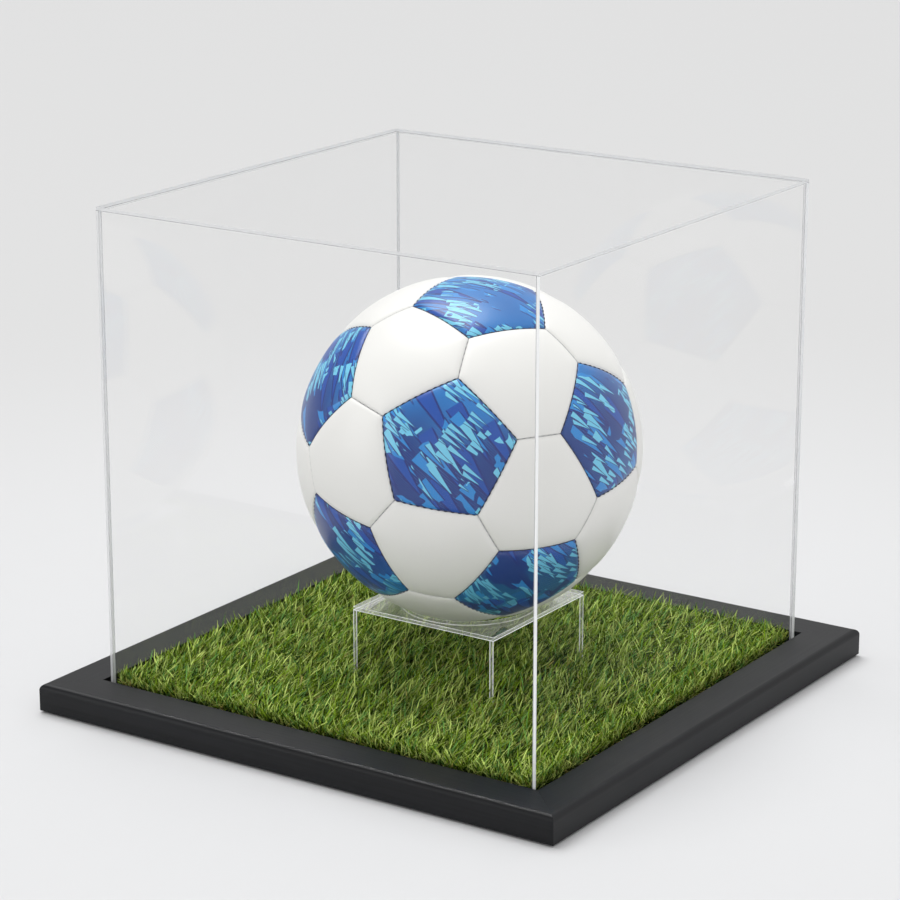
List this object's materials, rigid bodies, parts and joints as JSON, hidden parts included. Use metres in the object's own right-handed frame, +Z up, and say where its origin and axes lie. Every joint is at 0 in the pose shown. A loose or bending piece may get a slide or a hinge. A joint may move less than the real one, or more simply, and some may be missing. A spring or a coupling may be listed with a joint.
{
  "type": "football display case",
  "caption": "Square display case for a football: black mitred wood frame with a turf floor, a lift-off clear cover, and a clear riser that carries the ball.",
  "frame": {"origin": "middle of the footprint, on the surface the case stands on", "axes": "+Z up, front of the case towards -Y, +X to the right seen from the front"},
  "size_m": [0.384, 0.384, 0.325],
  "materials": {
    "black_stained_wood": "black stain, open grain, matt lacquer",
    "zinc_steel": "zinc plated",
    "felt": "pressed felt",
    "board": "fibreboard",
    "turf_backing": "latex coated weave",
    "turf_pile": "tufted plastic grass",
    "clear_acrylic": "clear cast acrylic, polished edges",
    "ball_white": "semi-gloss synthetic leather",
    "ball_blue": "printed semi-gloss synthetic leather",
    "ball_cloth": "laminated cloth",
    "ball_rubber": "butyl"
  },
  "bodies": {
    "base": {"frame_rail_front": "black_stained_wood", "frame_rail_right": "black_stained_wood", "frame_rail_back": "black_stained_wood", "frame_rail_left": "black_stained_wood", "corner_v_nails": "zinc_steel", "felt_pads": "felt", "base_board": "board", "board_screws": "zinc_steel", "turf_backing": "turf_backing", "turf_pile": "turf_pile"},
    "cover": {"cover_top": "clear_acrylic", "cover_left": "clear_acrylic", "cover_right": "clear_acrylic", "cover_front": "clear_acrylic", "cover_back": "clear_acrylic"},
    "riser": {"riser_plate": "clear_acrylic", "riser_leg_left": "clear_acrylic", "riser_leg_right": "clear_acrylic"},
    "ball": {"ball_panels_blue": "ball_blue", "ball_panels_white": "ball_white", "ball_lining": "ball_cloth", "ball_bladder": "ball_rubber", "ball_valve": "ball_rubber"}
  },
  "joints": [
    {"name": "cover_lift", "type": "slide", "parent": "base", "child": "cover", "axis": [0, 0, 1], "range_m": [0, 0.33]},
    {"name": "riser_lift", "type": "slide", "parent": "base", "child": "riser", "axis": [0, 0, 1], "range_m": [0, 0.045]},
    {"name": "ball_turn", "type": "hinge", "parent": "riser", "child": "ball", "pos_m": [0.008, -0.001, 0.16101], "axis": [0, 0, 1], "continuous": true}
  ]
}
